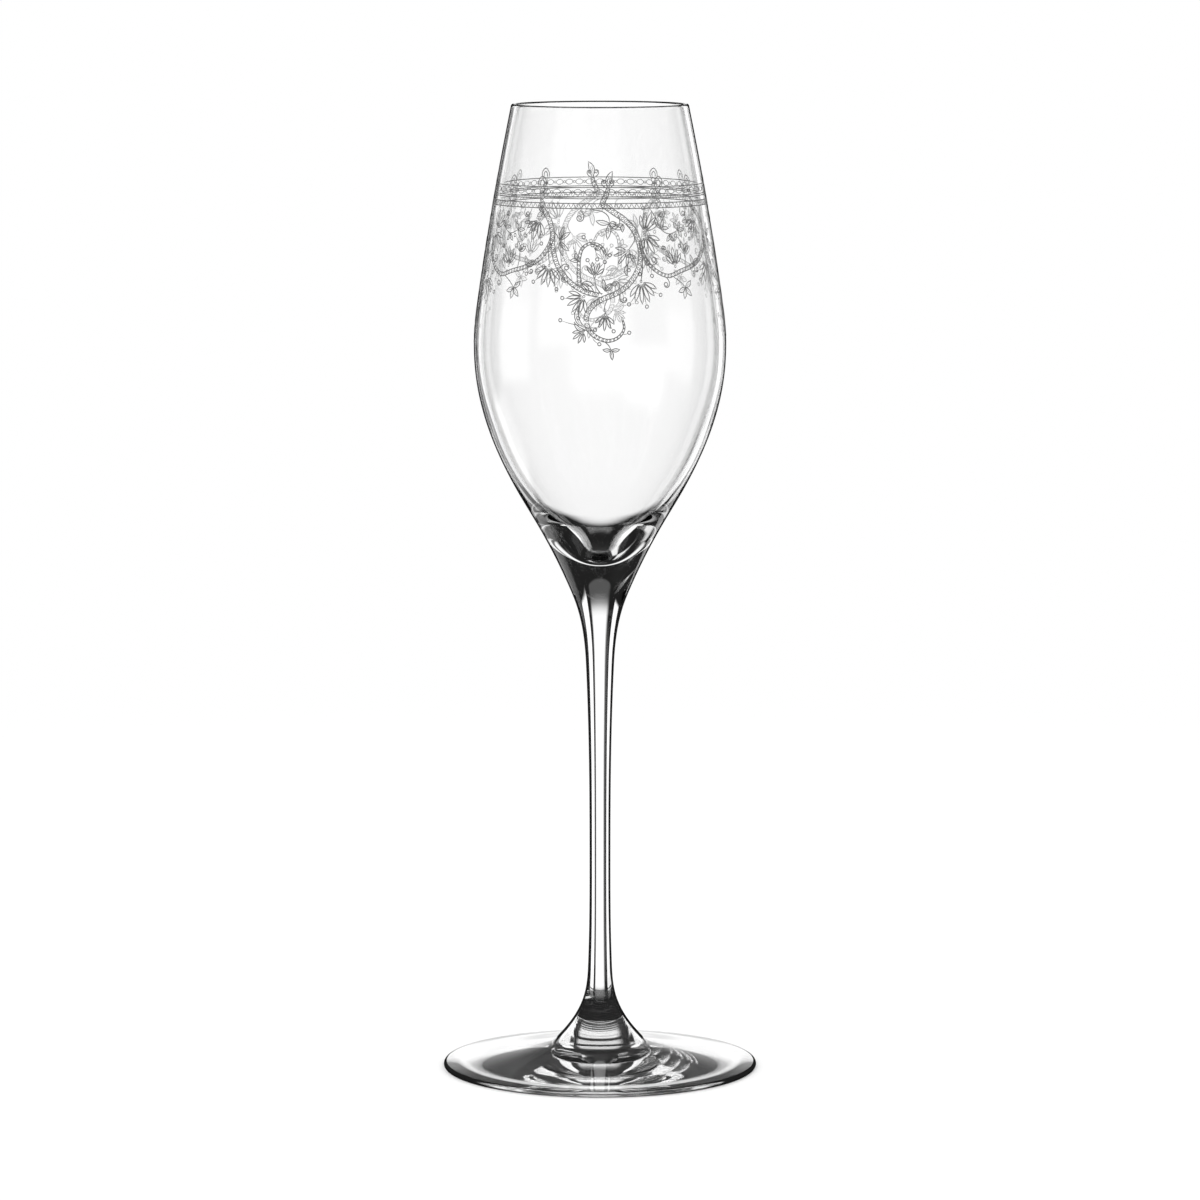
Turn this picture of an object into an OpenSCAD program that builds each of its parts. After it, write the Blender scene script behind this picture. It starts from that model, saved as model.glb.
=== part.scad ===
// Champagne flute: a blown bowl, a drawn stem and a pressed foot, fused end to end.
// Millimetres. +Z is up, and the origin is the centre of the ring that the foot stands on.

/* [Overall] */
// Height of the whole glass, from the table to the rim
height = 238; // [225:1:255]

/* [Bowl] */
// Outside diameter at the rim
rim_d = 43.4; // [38:0.2:50]
// Outside diameter at the widest place
belly_d = 61.7; // [56:0.1:68]
// Height of the widest place above the table
belly_height = 179; // [172:1:184]
// Height at which the bowl is fused to the stem
bowl_weld_height = 118; // [114:1:122]
// Diameter of that weld
bowl_weld_d = 13.7; // [11:0.1:16]
// Wall thickness just under the rim
rim_wall = 1.2; // [0.8:0.1:1.6]
// Wall thickness at the widest place
belly_wall = 1.5; // [1:0.1:2]
// Height of the lowest point of the cavity
cavity_floor_height = 127; // [125:0.5:132]

/* [Stem] */
// Diameter of the stem at its waist
stem_d = 5.15; // [4.5:0.05:7]
// Height of the waist above the table
waist_height = 52; // [45:1:60]
// Height at which the stem is fused to the neck of the foot
foot_weld_height = 19.5; // [18:0.5:22]
// Diameter of that weld
foot_weld_d = 7.05; // [6:0.05:9]

/* [Foot] */
// Diameter of the foot
foot_d = 77.5; // [70:0.5:86]
// Thickness of the foot at its edge
foot_edge = 1.4; // [1.2:0.1:2]
// Width of the flat ring that the foot stands on
ring_w = 2.6; // [2:0.1:4]
// How far the middle of the hollow under the foot is above the table
hollow_rise = 1.7; // [1:0.1:2.4]

/* [Hidden] */

// Straight pieces that a curve is made of, from one station to the next
curve_steps = 8;
// Share of the distance to the next station that a tangent reaches
tangent_reach = 0.35;
// Sides of a full turn in a preview; the solids themselves are exact
$fn = 180;

rim_r = rim_d / 2;
belly_r = belly_d / 2;
bowl_weld_r = bowl_weld_d / 2;
stem_r = stem_d / 2;
foot_weld_r = foot_weld_d / 2;
foot_r = foot_d / 2;

// The shoulder is where the upper wall, nearly straight, starts to turn into the belly.
shoulder_height = mix(belly_height, height, 0.25);
shoulder_r = mix(belly_r, rim_r, 0.16);
// The flank is the steepest place of the lower wall.
flank_height = mix(bowl_weld_height, belly_height, 0.345);
flank_r = mix(bowl_weld_r, belly_r, 0.452);
// The stem tapers from here down to its waist, and widens again under it.
taper_height = mix(waist_height, bowl_weld_height, 0.73);
taper_r = stem_r + 0.85;
spread_height = mix(foot_weld_height, waist_height, 0.23);
spread_r = stem_r + 0.32;

// Outline of the outside, from the stem up: [radius, height, lean], where lean is the outline's
// direction in degrees from straight up, positive where it goes outwards.
bowl_outside = [
    [bowl_weld_r, bowl_weld_height, 22.8],
    [flank_r, flank_height, 31.4],
    [belly_r, belly_height, 0],
    [shoulder_r, shoulder_height, -8.3],
    [rim_r, height - rim_wall / 2, -11.5]
];
stem_outside = [
    [foot_weld_r, foot_weld_height, -10.8],
    [spread_r, spread_height, -2],
    [stem_r, waist_height, 0],
    [taper_r, taper_height, 2.6],
    [bowl_weld_r, bowl_weld_height, 22.8]
];

// Outline of the cavity, from its floor up. Its round bottom ends where the wall begins.
bottom_height = cavity_floor_height + 5.2;
bottom_r = belly_r - 22.75;
cavity_bend_height = mix(cavity_floor_height, belly_height, 0.25);
cavity_bend_r = belly_r - 15.6;
cavity_wall_height = mix(cavity_floor_height, belly_height, 0.635);
cavity_wall_r = belly_r - 5;
cavity = [
    [0, cavity_floor_height, 90],
    [bottom_r, bottom_height, 44],
    [cavity_bend_r, cavity_bend_height, 37],
    [cavity_wall_r, cavity_wall_height, 20],
    [belly_r - belly_wall, belly_height, 0],
    [shoulder_r - mix(belly_wall, rim_wall, 0.5), shoulder_height, -8.3],
    [rim_r - rim_wall, height - rim_wall / 2, -11.5]
];

// Upper face of the foot, from its edge up to the weld.
foot_outside = [
    [foot_r - foot_edge / 2, foot_edge, -82.5],
    [foot_weld_r + 8.4, foot_edge + 4.6, -77],
    [foot_weld_r + 6.8, foot_edge + 6.1, -43],
    [foot_weld_r, foot_weld_height, -10.8]
];
// Hollow under the foot, from the standing ring to the axis.
ring_r = foot_r - foot_edge - ring_w;
foot_underside = [
    [ring_r, 0, -84],
    [ring_r / 2, hollow_rise * 0.7, -87],
    [0, hollow_rise, -90]
];

function mix(a, b, share) = a + (b - a) * share;

// Unit vector that leans from straight up.
function heading(lean) = [sin(lean), cos(lean)];

// Point of a cubic Bezier curve.
function bezier(a, b, c, d, t) =
    pow(1 - t, 3) * a + 3 * t * pow(1 - t, 2) * b + 3 * t * t * (1 - t) * c + pow(t, 3) * d;

function place(station) = [station[0], station[1]];

// Smooth curve through the stations, each passed in the direction of its own lean.
function curve(stations) = [
    for (i = [0 : len(stations) - 2], k = [0 : curve_steps - 1])
        let (
            a = place(stations[i]),
            d = place(stations[i + 1]),
            reach = tangent_reach * norm(d - a),
            b = a + reach * heading(stations[i][2]),
            c = d - reach * heading(stations[i + 1][2])
        )
        bezier(a, b, c, d, k / curve_steps),
    place(stations[len(stations) - 1])
];

function reversed(points) = [for (i = [len(points) - 1 : -1 : 0]) points[i]];

// Points inside a half-round edge, without its two ends.
function half_round(middle, radius, from, to) = [
    for (k = [1 : curve_steps - 1])
        middle + radius * [cos(mix(from, to, k / curve_steps)), sin(mix(from, to, k / curve_steps))]
];

// Blown bowl: thin wall, fire-polished round rim, and a solid base under the cavity.
module bowl() {
    rim_middle = [rim_r - rim_wall / 2, height - rim_wall / 2];
    color([0.90, 0.94, 0.94, 0.45])
    rotate_extrude()
    polygon(concat(
        [[0, bowl_weld_height]],
        curve(bowl_outside),
        half_round(rim_middle, rim_wall / 2, 0, 180),
        reversed(curve(cavity))
    ));
}

// Drawn stem: solid, narrowest at its waist, widening into both welds.
module stem() {
    color([0.88, 0.93, 0.93, 0.55])
    rotate_extrude()
    polygon(concat(
        [[0, foot_weld_height]],
        curve(stem_outside),
        [[0, bowl_weld_height]]
    ));
}

// Pressed foot: disc with a thin round edge, drawn up into a neck, standing on a flat ring.
module foot() {
    edge_middle = [foot_r - foot_edge / 2, foot_edge / 2];
    color([0.86, 0.92, 0.92, 0.55])
    rotate_extrude()
    polygon(concat(
        [[ring_r + ring_w, 0]],
        half_round(edge_middle, foot_edge / 2, -90, 90),
        curve(foot_outside),
        [[0, foot_weld_height]],
        reversed(curve(foot_underside))
    ));
}

bowl();
stem();
foot();
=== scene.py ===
"""Looks of the champagne flute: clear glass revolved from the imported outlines, under a studio surround."""

import cmath
import math

import bmesh
import bpy
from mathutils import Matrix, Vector


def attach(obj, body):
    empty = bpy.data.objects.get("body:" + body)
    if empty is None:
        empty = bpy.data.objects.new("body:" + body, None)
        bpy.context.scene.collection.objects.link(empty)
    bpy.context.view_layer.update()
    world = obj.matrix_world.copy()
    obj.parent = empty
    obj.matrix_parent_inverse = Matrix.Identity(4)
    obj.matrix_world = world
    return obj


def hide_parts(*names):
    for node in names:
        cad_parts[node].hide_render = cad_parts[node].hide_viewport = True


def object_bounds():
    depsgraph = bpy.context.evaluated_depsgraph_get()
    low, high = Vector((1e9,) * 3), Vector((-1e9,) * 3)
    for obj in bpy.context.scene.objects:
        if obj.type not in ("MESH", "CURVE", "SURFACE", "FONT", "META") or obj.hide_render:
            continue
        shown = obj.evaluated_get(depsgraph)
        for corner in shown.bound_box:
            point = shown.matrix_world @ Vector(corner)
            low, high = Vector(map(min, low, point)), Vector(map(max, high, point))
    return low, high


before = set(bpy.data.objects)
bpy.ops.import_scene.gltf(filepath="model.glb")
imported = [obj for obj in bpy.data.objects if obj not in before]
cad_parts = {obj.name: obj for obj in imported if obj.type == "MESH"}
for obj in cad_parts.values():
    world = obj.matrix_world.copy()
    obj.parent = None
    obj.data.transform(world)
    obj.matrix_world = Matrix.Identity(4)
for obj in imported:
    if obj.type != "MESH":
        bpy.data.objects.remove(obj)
cad_low, cad_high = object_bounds()
height = cad_high.z - cad_low.z

# Lengths are in metres, and angles in degrees, unless a comment says otherwise.
MM = 0.001

# Glass
GLASS_IOR = 1.52
SHADOW = 0.95             # share of a lamp's light that a face of glass lets through
DISC_HAZE = 0.008         # share of light that the foot's disc scatters
EDGE_SHADE_TONE = 0.01         # brightness of the painted dark line along the outline of glass: painted shade for the dark studio that glass shows at grazing angles
EDGE_SHADE_SOFTNESS = 0.04      # of that painted line's inner side, as a step in the cosine of the viewing angle
BOWL_EDGE_SHADE = 0.3 * MM      # width of the painted shade line on the bowl
STEM_EDGE_SHADE = 0.5 * MM      # on the stem and the foot's neck
FOOT_EDGE_SHADE = 0.16 * MM     # and on the foot's edge
NECK = 7 * MM             # the foot's neck begins at this height
ROUND = 0.7 * MM          # radius of the foot's half-round edge

# Outlines
TURN_STEPS = 256          # facets round a full turn of glass
CURVE_STEP = 0.4 * MM     # longest step along a smooth outline
SAME_POINT = 0.005 * MM   # CAD points closer than this are one
STRAIGHT = 0.08           # a CAD outline that turns less than this at a point is straight there


# ---------------------------------------------------------------- outlines read from the CAD model

def seam(mesh):
    """A revolved mesh's seam, at y = 0 and x >= 0: {point: the points it is joined to} and {point: place}."""
    def on_seam(vertex):
        return abs(vertex.co.y) < 0.1 * SAME_POINT and vertex.co.x > -SAME_POINT

    links, places = {}, {}
    for edge in mesh.edges:
        ends = [mesh.vertices[i] for i in edge.vertices]
        a, b = ((round(v.co.x / SAME_POINT), round(v.co.z / SAME_POINT)) for v in ends)
        if on_seam(ends[0]) and on_seam(ends[1]) and a != b:
            links.setdefault(a, set()).add(b)
            links.setdefault(b, set()).add(a)
            places.update({point: Vector((v.co.x, v.co.z)) for point, v in zip((a, b), ends)})
    return links, places


def cad_outline(part):
    """Outline of a revolved CAD node as (radius, height) vectors, with no points on straight stretches."""
    links, places = seam(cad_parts[part].data)
    walk = [min(point for point, nearby in links.items() if len(nearby) == 1)]
    while len(walk) < len(links):
        walk.append(next(point for point in links[walk[-1]] if point not in walk[-2:]))
    points = [places[point] for point in walk]
    kept = [points[0]]
    for here, after in zip(points[1:-1], points[2:]):
        if (here - kept[-1]).angle(after - here) > math.radians(STRAIGHT):
            kept.append(here)
    return kept + [points[-1]]


def beyond(end, inner, others):
    """The point that continues an outline past its end.

    At the axis it is the inner point's mirror image, and at a weld the first point of the outline beyond it.
    """
    if end.x < SAME_POINT:
        return Vector((-inner.x, inner.y))
    ends = [pair for line in others for pair in ((line[0], line[1]), (line[-1], line[-2]))]
    return next(after for place, after in ends if (place - end).length < 2 * SAME_POINT)


def spline(line, step):
    """Centripetal Catmull-Rom curve through all points but the first and last, in steps of at most step."""
    curve = []
    for p0, p1, p2, p3 in zip(line, line[1:], line[2:], line[3:]):
        t1 = math.sqrt((p1 - p0).length)
        t2 = t1 + math.sqrt((p2 - p1).length)
        t3 = t2 + math.sqrt((p3 - p2).length)
        steps = max(1, math.ceil((p2 - p1).length / step))
        for k in range(steps):
            t = t1 + (t2 - t1) * k / steps
            a1 = p0 * (t1 - t) / t1 + p1 * t / t1
            a2 = p1 * (t2 - t) / (t2 - t1) + p2 * (t - t1) / (t2 - t1)
            a3 = p2 * (t3 - t) / (t3 - t2) + p3 * (t - t2) / (t3 - t2)
            b1 = a1 * (t2 - t) / t2 + a2 * t / t2
            b2 = a2 * (t3 - t) / (t3 - t1) + a3 * (t - t1) / (t3 - t1)
            curve.append(b1 * (t2 - t) / (t2 - t1) + b2 * (t - t1) / (t2 - t1))
    return curve + [line[-2]]


def smoothed(points, others):
    """Smooth curve through a CAD outline, that runs on into the others."""
    before, after = beyond(points[0], points[1], others), beyond(points[-1], points[-2], others)
    return spline([before] + points + [after], CURVE_STEP)


# ---------------------------------------------------------------- materials

def new_material(name):
    """A material with an empty node tree, its nodes and its output node."""
    material = bpy.data.materials.new(name)
    material.use_nodes = True
    tree = material.node_tree
    tree.nodes.clear()
    return material, tree, tree.nodes.new("ShaderNodeOutputMaterial")


def grey(tone):
    """Colour of one brightness."""
    return tone, tone, tone, 1


def node(tree, kind, **values):
    """A new node; values whose name is an input go to that input, and the others to the node itself."""
    made = tree.nodes.new("ShaderNode" + kind)
    for name, value in values.items():
        if hasattr(made, name):
            setattr(made, name, value)
        else:
            made.inputs[name.replace("_", " ")].default_value = value
    return made


def maths(tree, operation, a, b=0.0):
    """A Math node's output; a and b are sockets or numbers."""
    made = tree.nodes.new("ShaderNodeMath")
    made.operation = operation
    for socket, value in zip(made.inputs, (a, b)):
        if isinstance(value, bpy.types.NodeSocket):
            tree.links.new(value, socket)
        else:
            socket.default_value = value
    return made.outputs[0]


def step_up(tree, value, at, softness):
    """0 below at, 1 above it, with a smooth step of that softness."""
    made = node(tree, "MapRange", interpolation_type="SMOOTHSTEP")
    tree.links.new(value, made.inputs["Value"])
    made.inputs["From Min"].default_value = at - softness / 2
    made.inputs["From Max"].default_value = at + softness / 2
    return made.outputs["Result"]


def band(tree, value, ends, softness):
    """1 between two ends, 0 outside, each end with its own softness."""
    low, high = (step_up(tree, value, at, soft) for at, soft in zip(ends, softness))
    return maths(tree, "SUBTRACT", low, high)


def mixed(tree, share, first, second):
    """Mix of two shader nodes; share is a socket."""
    mix = node(tree, "MixShader")
    tree.links.new(share, mix.inputs[0])
    tree.links.new(first.outputs[0], mix.inputs[1])
    tree.links.new(second.outputs[0], mix.inputs[2])
    return mix


def edge_shade_mask(tree, width, radius=None):
    """Mask of the painted shade line: 1 on round glass within that width of the outline that is seen, else 0.

    Its radius is the given one, or else its distance from the axis.
    """
    if radius is None:
        place = node(tree, "TexCoord")
        flat = node(tree, "VectorMath", operation="MULTIPLY")
        flat.inputs[1].default_value = (1, 1, 0)
        length = node(tree, "VectorMath", operation="LENGTH")
        tree.links.new(place.outputs["Object"], flat.inputs[0])
        tree.links.new(flat.outputs[0], length.inputs[0])
        radius = length.outputs["Value"]
    # Facing is 1 less the cosine of the viewing angle, and cosine is that at the line's inner side.
    share = maths(tree, "DIVIDE", width, radius)
    cosine = maths(tree, "SQRT", maths(tree, "MULTIPLY", share, maths(tree, "SUBTRACT", 2.0, share)))
    graze = node(tree, "LayerWeight", Blend=0.5)
    return step_up(tree, maths(tree, "ADD", graze.outputs["Facing"], cosine), 1, EDGE_SHADE_SOFTNESS)


def clear_glass(name, line=None, radius=None, haze=0.0):
    """Polished crystal that lets lamps through, with a painted dark line of that width along its outline:
    painted shade for the dark studio that glass shows at grazing angles.
    """
    material, tree, output = new_material(name)
    glass = node(tree, "BsdfPrincipled", IOR=GLASS_IOR, Roughness=0.0)
    glass.inputs["Base Color"].default_value = (1, 1, 1, 1)
    glass.inputs["Transmission Weight"].default_value = 1 - haze
    through = node(tree, "BsdfTransparent", Color=grey(SHADOW))
    path = node(tree, "LightPath")
    surface = mixed(tree, path.outputs["Is Shadow Ray"], glass, through)
    if line:
        # painted shade: a near-black matt surface mixed in along the outline that is seen
        dark = node(tree, "BsdfDiffuse", Color=grey(EDGE_SHADE_TONE))
        surface = mixed(tree, edge_shade_mask(tree, line, radius), surface, dark)
    tree.links.new(surface.outputs[0], output.inputs["Surface"])
    return material


def weld_glass():
    """The inside of a weld, where two pieces of the same glass meet with nothing to see."""
    material, tree, output = new_material("weld")
    tree.links.new(node(tree, "BsdfTransparent").outputs[0], output.inputs["Surface"])
    return material


# ---------------------------------------------------------------- glass pieces

def revolve(name, outline, glasses, kinds, weld):
    """A closed solid of revolution. kinds says which of the glasses each step of its outline has.

    Ends of the outline that aren't on the axis are closed by flat weld discs.
    """
    mesh = bmesh.new()
    rings = []
    for point in outline:
        if point.x < SAME_POINT:
            rings.append([mesh.verts.new((0, 0, point.y))])
            continue
        turn = [2 * math.pi * k / TURN_STEPS for k in range(TURN_STEPS)]
        rings.append([mesh.verts.new((point.x * math.cos(t), point.x * math.sin(t), point.y)) for t in turn])
    for kind, lower, upper in zip(kinds, rings, rings[1:]):
        for k in range(TURN_STEPS):
            corners = [lower[k % len(lower)], lower[(k + 1) % len(lower)]]
            corners += [upper[(k + 1) % len(upper)], upper[k % len(upper)]]
            face = mesh.faces.new(dict.fromkeys(corners))
            face.smooth = True
            face.material_index = kind
    for end in (rings[0], rings[-1]):
        if len(end) > 1:
            centre = mesh.verts.new((0, 0, end[0].co.z))
            for a, b in zip(end, end[1:] + end[:1]):
                mesh.faces.new((a, b, centre)).material_index = len(glasses)
                mesh.edges.get((a, b)).smooth = False
    bmesh.ops.recalc_face_normals(mesh, faces=mesh.faces)
    data = bpy.data.meshes.new(name)
    mesh.to_mesh(data)
    mesh.free()
    for material in (*glasses, weld):
        data.materials.append(material)
    piece = bpy.data.objects.new(name, data)
    bpy.context.scene.collection.objects.link(piece)
    return piece


cad_outlines = {part: cad_outline(part) for part in ("bowl", "stem", "foot")}
outlines = {}
for part, points in cad_outlines.items():
    outlines[part] = smoothed(points, [line for other, line in cad_outlines.items() if other != part])

# The bowl's outline starts in the cavity, and reaches the outside at the rim.
rim = max(range(len(outlines["bowl"])), key=lambda k: outlines["bowl"][k].y)
outside = outlines["bowl"][:rim - 1:-1]
edge_start = max(point.x for point in outlines["foot"]) - ROUND

glasses = {
    "bowl": [clear_glass("bowl_crystal", BOWL_EDGE_SHADE), clear_glass("bowl_crystal_within")],
    "stem": [clear_glass("stem_crystal", STEM_EDGE_SHADE)],
    "foot": [clear_glass("neck_crystal", STEM_EDGE_SHADE), clear_glass("disc_crystal", haze=DISC_HAZE),
             clear_glass("edge_crystal", FOOT_EDGE_SHADE, ROUND)],
}
# Which of its part's glasses each step of an outline has
kinds = {
    "bowl": [1] * rim + [0] * len(outside),
    "stem": [0] * len(outlines["stem"]),
    "foot": [0 if point.y > NECK else 2 if point.x > edge_start else 1 for point in outlines["foot"]],
}
weld = weld_glass()
for part, outline in outlines.items():
    piece = revolve(part + "_glass", outline, glasses[part], kinds[part], weld)
    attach(piece, "root")
    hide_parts(part)


def outer_radius(level):
    """Radius of the bowl's outside at a height, and how much it grows per metre of height."""
    for low, high in zip(outside, outside[1:]):
        if low.y <= level <= high.y:
            slope = (high.x - low.x) / (high.y - low.y)
            return low.x + slope * (level - low.y), slope


# ---------------------------------------------------------------- engraving: strokes, drawn flat

# A flat point is a complex number in millimetres: its real part runs to the right round the bowl from the
# middle of a panel, and its imaginary part is the height above the table. Every other length of the pattern
# is in millimetres too. Directions are counter-clockwise from straight right. A stroke is (points, width,
# closed), and a maker of the pattern returns a list of strokes.
LINE = 0.23               # width of a main line
FINE = 0.16               # width of a midrib, stalk or bead
FOOTING = 0.01 * MM       # a line's two sides are this far off the glass, so that their chords clear it
CREST = 0.05 * MM         # and its middle this far
FAR = 10                  # the ends of a small closed line are nearer to each other than this
TAPER = 0.35              # share of its width that an open line has at its ends and gains at each step in
BEAD_SLANT = 55           # angle of a cord's beads to the cord
BEAD_GAP = 4              # steps along a cord from bead to bead
TIGHTENING = 1.9          # a tendril's turn grows with this power of the way along


def towards(direction):
    """Unit step in a direction."""
    return cmath.rect(1, math.radians(direction))


def shares(steps):
    """Even steps from 0 to 1."""
    return [k / steps for k in range(steps + 1)]


def flow(points, step=0.5):
    """Smooth line through flat points."""
    line = [Vector((point.real, point.imag)) for point in points]
    line = [2 * line[0] - line[1]] + line + [2 * line[-1] - line[-2]]
    return [complex(*point) for point in spline(line, step)]


def sideways(points, closed=False):
    """Unit vectors to the left of a line, one at each of its points."""
    ahead = points[1:] + (points[:1] if closed else points[-1:])
    behind = (points[-1:] if closed else points[:1]) + points[:-1]
    return [(b - a) / abs(b - a) * 1j for a, b in zip(behind, ahead)]


def ring(middle, length, breadth, direction=0, steps=10):
    """Closed oval, as one stroke."""
    turns = [2 * math.pi * k / steps for k in range(steps)]
    points = [complex(length / 2 * math.cos(t), breadth / 2 * math.sin(t)) for t in turns]
    return [middle + point * towards(direction) for point in points], FINE, True


def leaf(base, direction, length, breadth, bend=0, ribs=1, fullness=1.0):
    """Almond leaf or petal, whose tip has turned by bend, with ribs inside.

    It is widest in the middle, and nearer the tip where fullness is over 1.
    """
    along = shares(7)
    spine = [base + length * t * towards(direction + bend * t) for t in along]
    half = [breadth / 2 * math.sin(math.pi * t ** fullness) for t in along]
    reach = [side * wide for side, wide in zip(sideways(spine), half)]
    left = [point + out for point, out in zip(spine, reach)]
    right = [point - out for point, out in zip(spine, reach)]
    strokes = [(left + right[-2:0:-1], LINE, True)]
    for k in range(ribs):
        shift = (k + 1) / (ribs + 1) * 2 - 1
        rib = [point + out * shift for point, out in zip(spine, reach)]
        strokes.append((rib[1:-2], FINE, False))
    return strokes


def berry(base, direction, length, bend=25, size=0.8):
    """Bent stalk with a small berry at its end."""
    line = [base + length * t * towards(direction + bend * t) for t in shares(5)]
    end = line[-1] + size / 2 * (line[-1] - line[-2]) / abs(line[-1] - line[-2])
    points, _, closed = ring(end, size, size)
    return [(line, FINE, False), (points, LINE, closed)]


def tendril(base, direction, length, turn):
    """Line that curls up tighter and tighter, through turn degrees in all."""
    steps = 34
    line = [base]
    for t in shares(steps)[1:]:
        line.append(line[-1] + length / steps * towards(direction + turn * t ** TIGHTENING))
    return [(line, LINE, False)]


def flower(base, direction, size, petals=5, spread=90, berries=2):
    """Fan of long open petals from a small bud, with berries on stalks between them."""
    strokes = [ring(base, 0.7, 0.5, direction)]
    breadth = 0.16 * size
    for share in shares(petals - 1):
        off = 2 * share - 1
        angle = direction + spread / 2 * off
        length = size * (0.86 - 0.2 * abs(off))
        start = base + 0.12 * size * towards(angle)
        strokes += leaf(start, angle, length, breadth, -6 * off, ribs=0, fullness=1.25)
    for k in range(berries):
        off = (2 * k + 1) / berries - 1
        angle = direction + spread / 2 * off
        strokes += berry(base + 0.5 * size * towards(angle), angle, 0.5 * size, 15 * off)
    return strokes


def spray(base, directions, length, breadth):
    """Leaves from one point, the middle one the longest."""
    strokes = []
    for k, direction in enumerate(directions):
        off = 2 * k / (len(directions) - 1) - 1
        strokes += leaf(base, direction, length * (1 - 0.15 * abs(off)), breadth, 15 * off)
    return strokes


def rope(points, start, end):
    """Twisted cord, start mm wide at one end and end mm wide at the other: two lines with slanting beads."""
    path = flow(points, 0.25)
    count = len(path) - 1
    half = [(start + (end - start) * k / count) / 2 for k in range(count + 1)]
    strokes = []
    for hand in (1, -1):
        side = [point + hand * left * reach for point, left, reach in zip(path, sideways(path), half)]
        strokes.append((side[:-1:2] + side[-1:], LINE, False))
    for k in range(2, count - 1, BEAD_GAP):
        along = math.degrees(cmath.phase(path[k + 1] - path[k]))
        strokes.append(ring(path[k], 1.5 * half[k], 0.9 * half[k], along + BEAD_SLANT, steps=8))
    return strokes


def stalk(*points):
    """Smooth plain line."""
    return [(flow(points), LINE, False)]


def joined(maker, rows):
    """Strokes of a table, each row being the maker's arguments for one leaf, flower or the like."""
    return [stroke for row in rows for stroke in maker(*row)]


# ---------------------------------------------------------------- engraving: the pattern

# The pattern has four panels with a big scroll, and a smaller hammock, or festoon, between every two.
PANELS = (0, 90, 180, 270)
BETWEEN = (45, 135, 225, 315)

BELT_LINES = (218.9, 216.7, 216.25, 215.1, 213.9)    # heights
BELT_STEPS = 180                                     # corners in each of those lines
CHAIN_LINKS = 60
ZIGZAG_TEETH = 128


def girth(level):
    """Length of a full turn round the bowl at a height, both in millimetres."""
    return 2 * math.pi * outer_radius(level * MM)[0] / MM


def belt():
    """Lines round the bowl, with a chain between the top two and a zigzag between the bottom two.

    It is a list of (strokes, turns that they are repeated at).
    """
    top, under, _, over, bottom = BELT_LINES
    parts = []
    for level in BELT_LINES:
        line = [girth(level) * k / BELT_STEPS + level * 1j for k in range(BELT_STEPS)]
        parts.append(([(line, LINE, True)], [0]))
    middle = (top + under) / 2 * 1j
    link = [ring(middle, 1.9, 1.3), ring(middle + 1.33, 0.6, 0.6, steps=8)]
    parts.append((link, [360 / CHAIN_LINKS * k for k in range(CHAIN_LINKS)]))
    half = girth(bottom) / ZIGZAG_TEETH / 2
    tooth = [complex(half * x, bottom + (over - bottom) * (1 - abs(x))) for x in (-1, -0.5, 0, 0.5, 1)]
    parts.append(([(tooth, LINE, False)], [360 / ZIGZAG_TEETH * k for k in range(ZIGZAG_TEETH)]))
    return parts


def scroll_vines():
    """The big round scroll, the hook under it and the small scroll inside it."""
    return (
        rope([-15.1 + 214.3j, -12.9 + 211.7j, -11.8 + 208.6j, -11.6 + 204.6j, -10.4 + 200.4j, -7.4 + 196.6j,
              -3.5 + 194.2j, 0.6 + 193.3j], 1.15, 1)
        + rope([0.2 + 215.2j, 3.2 + 213.1j, 6.2 + 211j, 8.3 + 208.6j, 9.7 + 205.1j, 9.9 + 201.8j,
                8.7 + 198.3j, 6.3 + 195.4j, 3.6 + 193.7j, 0.6 + 192.5j, -1.7 + 191j, -3.1 + 188.9j,
                -3.3 + 187j], 1.2, 1.1)
        + rope([-3.3 + 187j, -2.6 + 185.1j, -0.7 + 183.4j, 2 + 182.6j, 4.4 + 183.4j, 5.8 + 185.5j,
                5.2 + 188.2j], 1.1, 0.3)
        + rope([-5 + 195.2j, -5.1 + 198.6j, -5 + 202.1j, -4.2 + 204.5j, -2.2 + 205.7j, 0.2 + 205j,
                1.7 + 202.6j], 0.9, 0.4)
    )


def festoon_vines():
    """The hammock that joins two round scrolls."""
    return rope([-11.8 + 206.5j, -11.4 + 203j, -9.2 + 199.6j, -5.4 + 197.7j, -1.2 + 198.7j, 3 + 199.8j,
                 6.6 + 201.6j, 8.9 + 204.6j, 9.9 + 207.6j], 0.7, 1)


def crest():
    """Horned bud over the middle of a panel, on a stalk that crosses the belt, and a knot on either side."""
    strokes = rope([0.4 + 214.6j, 0.9 + 216j, 1.7 + 217.6j, 2 + 219.2j], 1.2, 0.8)
    strokes += leaf(2 + 218.8j, 98, 4.1, 1.4, -22, ribs=2)
    strokes += tendril(1.2 + 219j, 150, 4.6, -500)
    strokes += tendril(2.6 + 219j, 35, 4.2, 480)
    for x in (-14.6, 14.8):
        strokes += [ring(x + level * 1j, 2.0, 1.1, 60) for level in (214.6, 216.6, 218.2)]
        strokes += [ring(x + level * 1j, 1.2, 0.6, -50, steps=8) for level in (215.6, 217.4)]
        strokes += stalk(x - 0.9 + 218.6j, x - 1.1 + 220.2j, x + 221.4j, x + 1.1 + 220.3j, x + 0.8 + 218.7j)
        strokes += stalk(x - 0.4 + 218.8j, x - 0.5 + 220j, x + 220.6j, x + 0.5 + 220j, x + 0.4 + 218.8j)
    return strokes


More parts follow.
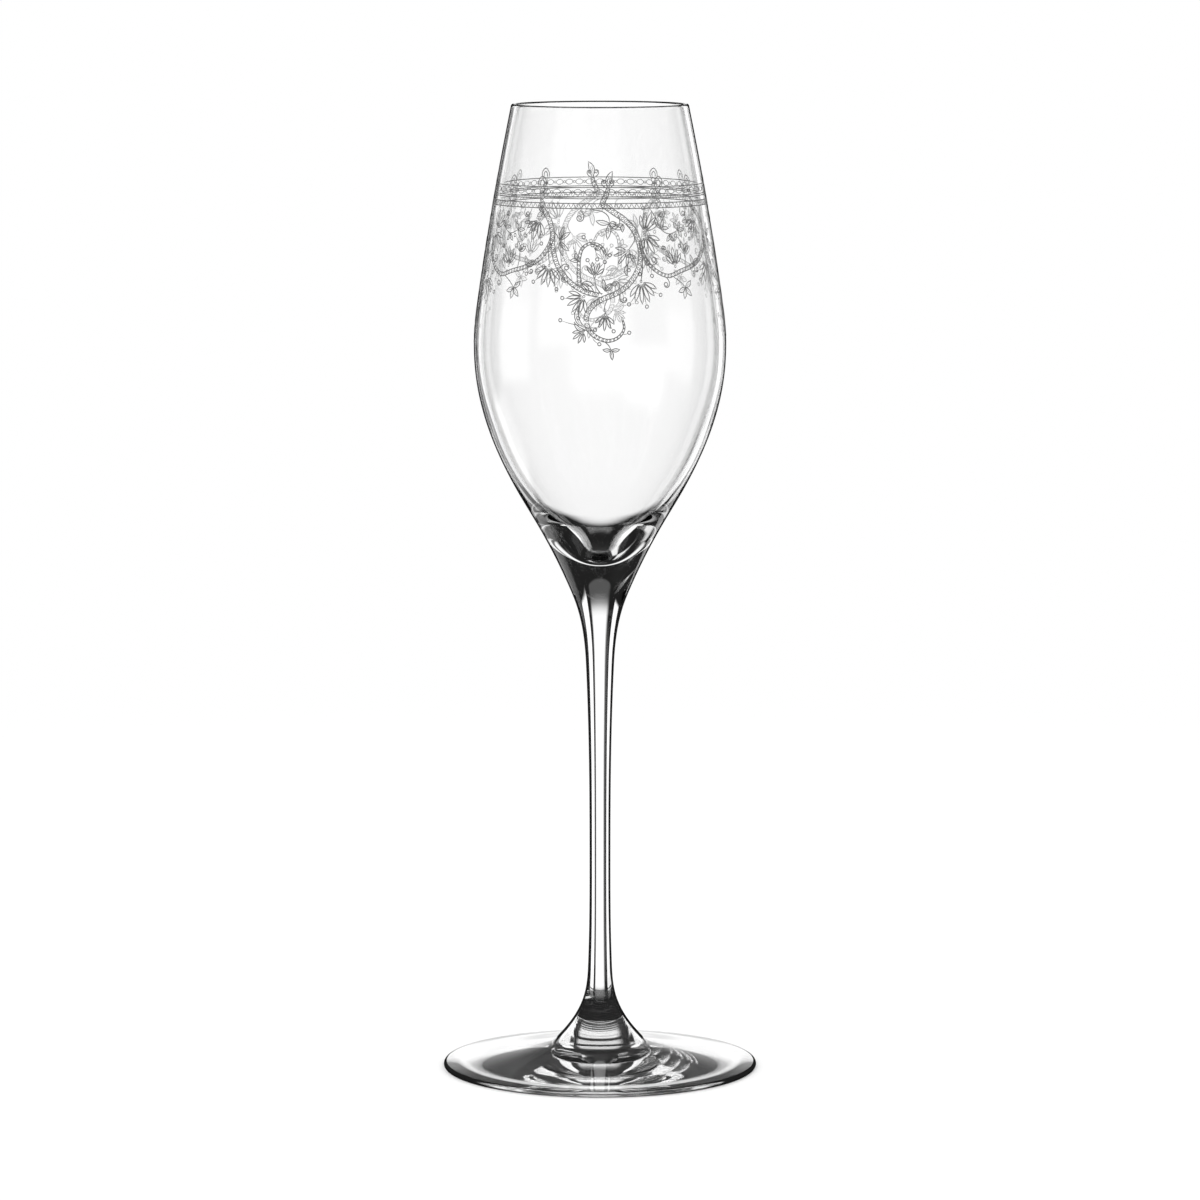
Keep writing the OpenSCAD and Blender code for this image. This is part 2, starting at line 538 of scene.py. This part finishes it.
def scroll_flowers():
    return joined(flower, [
        (-15.4 + 211.2j, 250, 5.4, 5, 88),
        (-12.6 + 200.3j, 256, 5.5, 6, 116),
        (10.9 + 208.2j, 68, 5.4, 5, 84),
        (11 + 207.6j, 300, 5.5, 5, 92),
        (10 + 196.6j, 284, 5.8, 6, 112, 3),
        (-3.9 + 193.1j, 220, 4.9, 6, 124),
        (6.8 + 203.9j, 232, 4.2, 5, 140),
        (-1.3 + 197.9j, 84, 3.8, 4, 100),
        (1.3 + 188.8j, 266, 4, 5, 104),
        (-4 + 184.9j, 232, 3.5, 4, 96, 0),
    ])


def festoon_flowers():
    return flower(-2.8 + 199.9j, 94, 4.8, 5, 90)


def scroll_leaves():
    return (
        stalk(-2.4 + 213.7j, 0.6 + 213.2j, 2 + 212j, 2.3 + 210.6j)
        + spray(2.3 + 210.5j, (186, 262, 318), 3.9, 1.1)
        + stalk(-11.6 + 208.6j, -10.6 + 207.6j, -9.8 + 206.2j)
        + spray(-9.8 + 206.2j, (52, 78, 276, 300), 3.9, 0.95)
        + stalk(6.2 + 210.6j, 8.4 + 206.8j, 6.8 + 203.9j)
        + stalk(0.5 + 193.4j, -0.9 + 195.4j, -1.3 + 197.9j)
        + spray(-4.4 + 196.2j, (5, 328, 300), 3.4, 1.1)
        + spray(1.2 + 194.4j, (62, 100, 30), 2.9, 0.9)
        + spray(-5 + 201.4j, (128, 160), 2.6, 0.9)
        + stalk(9.9 + 205.2j, 10.4 + 200j, 10 + 196.5j)
        + stalk(-12.1 + 206.6j, -12.8 + 203.6j, -12.4 + 200.2j)
        + stalk(1.9 + 192.7j, 1.1 + 190.7j, 1.3 + 188.8j)
        + leaf(-3.6 + 186j, 168, 5.2, 1, -62)
        + leaf(-3.4 + 185.2j, 196, 3.4, 0.8, -50)
        + stalk(0.8 + 182.6j, 2 + 181.6j, 2.7 + 180.4j)
        + spray(2.7 + 180.4j, (192, 276, 348), 2.4, 0.8)
        + spray(-14 + 212.9j, (150, 196), 2.7, 0.9)
        + spray(5.6 + 210.2j, (205, 250), 2.2, 0.8)
        + leaf(8.8 + 202j, 140, 2.8, 0.8, 30)
        + leaf(6.6 + 198j, 120, 2.6, 0.8, -30)
    )


def festoon_leaves():
    return (
        stalk(-8.2 + 213.8j, -6.9 + 211.6j, -5.8 + 208.8j, -3.4 + 207.6j, -0.8 + 208.4j)
        + spray(-5.8 + 208.8j, (20, 70, 118), 2.7, 0.8)
        + spray(-0.8 + 208.4j, (320, 10, 60, 105), 2.5, 0.8)
        + spray(-3.4 + 207.5j, (250, 290), 2.3, 0.8)
        + stalk(-4 + 197.6j, -1.8 + 196.2j, -0.2 + 194.8j)
        + spray(-0.2 + 194.8j, (218, 262, 306, 20), 3, 1.05)
        + spray(3.6 + 199.8j, (60, 110, 20), 2.8, 0.9)
        + spray(0.6 + 203.4j, (72, 112, 20), 2.6, 0.9)
        + stalk(0.4 + 199.2j, 0.8 + 201.6j, 0.6 + 203.4j)
        + stalk(3 + 213.8j, 2.4 + 211.4j, 3.6 + 209j, 4 + 205.8j)
        + spray(3 + 210.6j, (200, 330), 2.2, 0.8)
    )


def scroll_tendrils():
    return joined(tendril, [
        (4.4 + 212.4j, 290, 9.6, -520),
        (-4.9 + 213.7j, 318, 7.6, -520),
        (4.8 + 193.6j, 262, 6.4, 560),
        (-7.7 + 196.7j, 205, 5.2, -560),
        (-9.8 + 199.6j, 60, 6.2, -520),
        (4.6 + 194.8j, 80, 6.2, 540),
        (11 + 201.8j, 262, 4.6, 520),
        (0.4 + 205j, 250, 4.4, -520),
    ])


def festoon_tendrils():
    return joined(tendril, [
        (-10.8 + 201.2j, 320, 7.8, 540),
        (-6 + 197.5j, 318, 7.2, -560),
        (3.8 + 199.8j, 268, 5.6, 560),
        (-4.6 + 213.8j, 300, 6, -520),
        (1 + 213.8j, 250, 6.2, 540),
    ])


def scroll_berries():
    return joined(berry, [
        (-4.2 + 186.2j, 176, 5.2, -8),
        (-1.8 + 183.4j, 288, 1.9),
        (5.3 + 184.2j, 340, 1.4),
        (-11.9 + 204.8j, 258, 2.3, -30),
        (10.4 + 200.8j, 282, 2.2, -25),
        (-1 + 202.4j, 78, 2.6),
        (-3 + 205.9j, 96, 1.2),
        (-2.4 + 200j, 20, 2.2),
    ])


def festoon_berries():
    return joined(berry, [
        (2 + 199.4j, 292, 1.6),
        (-9.4 + 199.9j, 232, 1.7),
        (-0.4 + 205.6j, 100, 1.6),
        (5.8 + 207.4j, 110, 1.6),
        (6.2 + 201.3j, 300, 2),
    ])


def on_bowl(point, turn, lift):
    """Place of a flat point of the panel at that turn, lift metres above the outside of the bowl."""
    radius, slope = outer_radius(point.imag * MM)
    angle = math.radians(turn) + point.real * MM / radius
    out = lift / math.hypot(1, slope)
    across = radius + out
    return across * math.sin(angle), -across * math.cos(angle), point.imag * MM - slope * out


def engraved(name, parts, under):
    """One piece of thin ridged lines on the bowl, from a list of (strokes, turns that they are repeated at).

    under is the material of their flat side, which is what shows through the glass: a lighter copy of the
    ground line, as painted light.
    """
    places, faces, undersides = [], [], []
    for strokes, turns in parts:
        for points, width, closed in strokes:
            # A line all round the bowl is closed there, but its ends are far apart in the flat drawing.
            sides = sideways(points, closed and abs(points[-1] - points[0]) < FAR)
            last = len(points) - 1
            for turn in turns:
                first = len(places)
                for k, (point, side) in enumerate(zip(points, sides)):
                    taper = 1 if closed else min(1, TAPER * (1 + min(k, last - k)))
                    reach = side * width / 2 * taper
                    places.append(on_bowl(point + reach, turn, FOOTING))
                    places.append(on_bowl(point, turn, CREST))
                    places.append(on_bowl(point - reach, turn, FOOTING))
                corner = [first + 3 * k for k in range(last + 1)]
                pairs = list(zip(corner, corner[1:] + corner[:1]))
                for a, b in pairs if closed else pairs[:-1]:
                    faces += [(a + i, b + i, b + (i + 1) % 3, a + (i + 1) % 3) for i in range(3)]
                    undersides += [0, 0, 1]
                if not closed:
                    a, b = corner[0], corner[-1]
                    faces += [(a, a + 1, a + 2), (b + 2, b + 1, b)]
                    undersides += [0, 0]
    data = bpy.data.meshes.new(name)
    data.from_pydata(places, [], faces)
    data.materials.append(ground_line_painted_shade)
    data.materials.append(under)
    data.polygons.foreach_set("material_index", undersides)
    piece = bpy.data.objects.new(name, data)
    bpy.context.scene.collection.objects.link(piece)
    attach(piece, "root")


def ground_glass(name, dark, light):
    """Matt ground line, grainy between two tones; the calls below set those tones as painted shade and
    painted light.
    """
    material, tree, output = new_material(name)
    place = node(tree, "TexCoord")
    grain = node(tree, "TexNoise", Scale=1800.0, Detail=3.0)
    tree.links.new(place.outputs["Object"], grain.inputs["Vector"])
    tone = node(tree, "ValToRGB")
    for stop, position, level in zip(tone.color_ramp.elements, (0.3, 0.7), (dark, light)):
        stop.position = position
        stop.color = grey(level)
    tree.links.new(grain.outputs["Fac"], tone.inputs["Fac"])
    matt = node(tree, "BsdfPrincipled", Roughness=0.8)
    tree.links.new(tone.outputs["Color"], matt.inputs["Base Color"])
    tree.links.new(matt.outputs[0], output.inputs["Surface"])
    return material


# The flat sides of the lines, which show through the glass on the far side of the bowl, get lighter copies of
# the ground line: painted light for the light that comes through a frosted line, so the far side of the
# engraving is fainter than the near side.
# painted shade: the lines' outside is dark grey, standing in for the backlight that a frosted line scatters
# away
ground_line_painted_shade = ground_glass("ground_line_painted_shade", dark=0.06, light=0.2)
belt_underside_painted_light = ground_glass("belt_underside_lit_copy", dark=0.22, light=0.42)
line_underside_painted_light = ground_glass("line_underside_lit_copy", dark=0.92, light=1.0)
engraved("engraved_belt", belt(), belt_underside_painted_light)
engraved("engraved_crest", [(crest(), PANELS)], belt_underside_painted_light)
for name, scroll, festoon in (
        ("engraved_vines", scroll_vines, festoon_vines),
        ("engraved_flowers", scroll_flowers, festoon_flowers),
        ("engraved_leaves", scroll_leaves, festoon_leaves),
        ("engraved_tendrils", scroll_tendrils, festoon_tendrils),
        ("engraved_berries", scroll_berries, festoon_berries)):
    engraved(name, [(scroll(), PANELS), (festoon(), BETWEEN)], line_underside_painted_light)


# ---------------------------------------------------------------- stage, light and camera

PALE = 1.0                # brightness of the backdrop
ROOM = 1.3                # brightness of the room that lights matt surfaces
DARK_STUDIO = 0.015       # brightness of the studio between the cards
BOUNCES = 14              # light runs far inside the foot before it leaves

# The floor, in heights of the glass
FLOOR_TONE = 0.76
FLOOR_RADIUS = 4
FADE_MIDDLE = 1.6         # the floor is half faded this far from its middle
FADE_WIDTH = 2.4

# The soft light from above
LAMP_STRENGTH = 0.45
LAMP_SPREAD = 60
LAMP_TILT = (25, -15, 0)  # about x, y and z

# The camera, as fitted to the ellipses of the rim and the foot, in heights of the glass
LENS = 169.2              # mm
CAMERA_AWAY = 5.78
CAMERA_UP = 1.208
CAMERA_DIP = 7.09         # degrees that it looks down

# Cards that the glass sees: azimuths of the two sides, elevations of the bottom and top, brightness, softness
# of the two sides, and softness of the bottom and top. Seen from the camera, azimuth 0 is straight behind the
# object and 90 is on its left. Azimuths run from -180 to 180, so a side past those ends isn't there.
CARDS = (
    ((-15.5, 14), (-26, 15), 1.02, (4, 7), (8, 14)),          # behind the object
    ((-15.5, 14), (-26, 24), 0.1, (4, 7), (8, 1)),            # and its faint upper part
    ((28, 45.5), (-18, 22), 1.2, (1.5, 1.5), (6, 4)),         # behind it on the left
    ((-39.5, -22.5), (-36, 24), 1.2, (1.5, 1.5), (6, 4)),     # and on the right
    ((27, 72), (-36, -18), 1.0, (4, 14), (6, 6)),             # low on the left
    ((150, 260), (-22, 24), 0.55, (20, 14), (12, 16)),        # in front of the object, left half
    ((-260, -154), (-22, 24), 0.55, (14, 20), (12, 16)),      # and right half
    ((74, 110), (-15, 9), 1.0, (6, 14), (8, 8)),              # straight to the left
    ((-154, -116), (-29, -1), 1.0, (14, 14), (8, 8)),         # low in front on the right
)


def cards_seen(tree):
    """Brightness of the studio that the glass sees, by direction."""
    place = node(tree, "TexCoord")
    split = node(tree, "SeparateXYZ")
    tree.links.new(place.outputs["Generated"], split.inputs[0])
    x, y, z = split.outputs
    to_degrees = 180 / math.pi
    azimuth = maths(tree, "MULTIPLY", maths(tree, "ARCTAN2", maths(tree, "MULTIPLY", x, -1.0), y), to_degrees)
    elevation = maths(tree, "MULTIPLY", maths(tree, "ARCSINE", z), to_degrees)
    total = 0.0
    for sides, ends, bright, sides_soft, ends_soft in CARDS:
        across = band(tree, azimuth, sides, sides_soft)
        up = band(tree, elevation, ends, ends_soft)
        card = maths(tree, "MULTIPLY", maths(tree, "MULTIPLY", across, up), bright)
        total = maths(tree, "ADD", card, total)
    return maths(tree, "MAXIMUM", total, DARK_STUDIO)


def surround():
    """A pale backdrop for the camera, a bright room for matt surfaces, and a dark studio for glass."""
    world = bpy.data.worlds.new("studio")
    world.use_nodes = True
    world.cycles.sampling_method = "NONE"
    bpy.context.scene.world = world
    tree = world.node_tree
    tree.nodes.clear()
    to_glass = node(tree, "Background")
    tree.links.new(cards_seen(tree), to_glass.inputs["Color"])
    path = node(tree, "LightPath")
    scattered = maths(tree, "MINIMUM", path.outputs["Diffuse Depth"], 1.0)
    pale = maths(tree, "MAXIMUM", path.outputs["Is Camera Ray"], scattered)
    backdrop = node(tree, "Background", Color=grey(PALE))
    strength = maths(tree, "ADD", maths(tree, "MULTIPLY", scattered, ROOM - 1), 1)
    tree.links.new(strength, backdrop.inputs["Strength"])
    seen = mixed(tree, pale, to_glass, backdrop)
    output = node(tree, "OutputWorld")
    tree.links.new(seen.outputs[0], output.inputs["Surface"])


def floor():
    """A round pale floor that fades into the backdrop."""
    mesh = bmesh.new()
    bmesh.ops.create_circle(mesh, cap_ends=True, segments=96, radius=FLOOR_RADIUS * height)
    data = bpy.data.meshes.new("floor")
    mesh.to_mesh(data)
    mesh.free()
    material, tree, output = new_material("pale_floor")
    matt = node(tree, "BsdfDiffuse", Color=grey(FLOOR_TONE))
    clear = node(tree, "BsdfTransparent")
    place = node(tree, "TexCoord")
    length = node(tree, "VectorMath", operation="LENGTH")
    tree.links.new(place.outputs["Object"], length.inputs[0])
    fade = step_up(tree, length.outputs["Value"], FADE_MIDDLE * height, FADE_WIDTH * height)
    tree.links.new(mixed(tree, fade, matt, clear).outputs[0], output.inputs["Surface"])
    data.materials.append(material)
    plane = bpy.data.objects.new("floor", data)
    plane.location.z = cad_low.z - 0.05 * MM
    bpy.context.scene.collection.objects.link(plane)
    plane.visible_transmission = False
    plane.visible_glossy = False


def lamps():
    """One wide soft light, for the floor and the engraving, that the glass itself doesn't see."""
    sun = bpy.data.lights.new("sky_panel", "SUN")
    sun.energy = LAMP_STRENGTH
    sun.angle = math.radians(LAMP_SPREAD)
    lamp = bpy.data.objects.new("sky_panel", sun)
    lamp.rotation_euler = [math.radians(tilt) for tilt in LAMP_TILT]
    lamp.visible_transmission = False
    lamp.visible_glossy = False
    bpy.context.scene.collection.objects.link(lamp)


def camera():
    """The photo's camera, with a long lens."""
    data = bpy.data.cameras.new("camera")
    data.lens = LENS
    made = bpy.data.objects.new("camera", data)
    made.location = (0, -CAMERA_AWAY * height, CAMERA_UP * height)
    made.rotation_euler = (math.radians(90 - CAMERA_DIP), 0, 0)
    bpy.context.scene.collection.objects.link(made)
    bpy.context.scene.camera = made


surround()
floor()
lamps()
camera()
bpy.context.scene.view_settings.view_transform = "Standard"
for limit in ("max_bounces", "transmission_bounces", "glossy_bounces"):
    setattr(bpy.context.scene.cycles, limit, BOUNCES)
